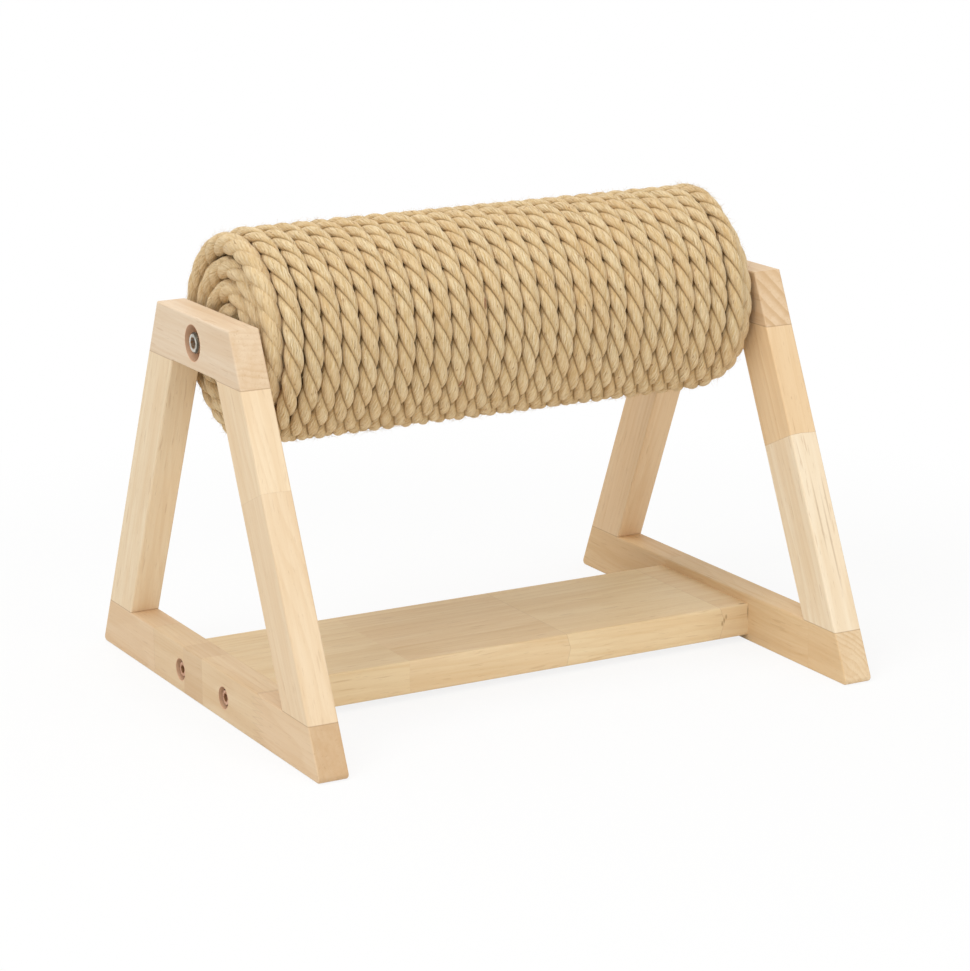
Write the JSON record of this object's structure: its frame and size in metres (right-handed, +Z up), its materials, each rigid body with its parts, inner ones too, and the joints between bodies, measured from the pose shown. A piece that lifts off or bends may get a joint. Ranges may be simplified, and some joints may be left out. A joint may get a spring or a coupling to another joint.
{
  "type": "cat scratching roller",
  "caption": "Rope-wound scratching drum that turns on an axle between two wooden A-frames, with a low shelf board joining the frames.",
  "frame": {"origin": "on the floor, under the middle of the stand", "axes": "+X along the drum's axle from the left A-frame to the right one, -Y is the front, +Z up"},
  "size_m": [0.47, 0.3982, 0.3605],
  "materials": {
    "frame_timber": "pale sanded finger-jointed timber, unvarnished",
    "shelf_timber": "pale sanded timber board, unvarnished",
    "dowel_timber": "beech dowel",
    "jute_rope": "three-strand jute rope, hairy and matt",
    "kraft_card": "wound brown cardboard tube",
    "disc_board": "plain fibreboard",
    "zinc_steel": "bright zinc-plated steel",
    "bush_plastic": "natural white nylon"
  },
  "bodies": {
    "stand": {"shelf_board": "shelf_timber", "left_foot_rail": "frame_timber", "right_foot_rail": "frame_timber", "left_front_leg": "frame_timber", "right_front_leg": "frame_timber", "left_back_leg": "frame_timber", "right_back_leg": "frame_timber", "left_cap_block": "frame_timber", "right_cap_block": "frame_timber", "left_foot_dowels": "dowel_timber", "right_foot_dowels": "dowel_timber", "left_cap_dowels": "dowel_timber", "right_cap_dowels": "dowel_timber", "left_shelf_bolts": "zinc_steel", "right_shelf_bolts": "zinc_steel", "left_shelf_washers": "zinc_steel", "right_shelf_washers": "zinc_steel", "left_shelf_inserts": "zinc_steel", "right_shelf_inserts": "zinc_steel", "left_cap_bush": "bush_plastic", "right_cap_bush": "bush_plastic"},
    "drum": {"core_tube": "kraft_card", "left_rope": "jute_rope", "right_rope": "jute_rope", "left_end_disc": "disc_board", "right_end_disc": "disc_board", "left_axle_bolt": "zinc_steel", "right_axle_bolt": "zinc_steel", "left_axle_washer": "zinc_steel", "right_axle_washer": "zinc_steel", "left_axle_sleeve": "zinc_steel", "right_axle_sleeve": "zinc_steel", "left_tee_nut": "zinc_steel", "right_tee_nut": "zinc_steel"}
  },
  "joints": [
    {"name": "drum_spin", "type": "hinge", "parent": "stand", "child": "drum", "pos_m": [0, 0, 0.27975], "axis": [1, 0, 0], "continuous": true}
  ]
}
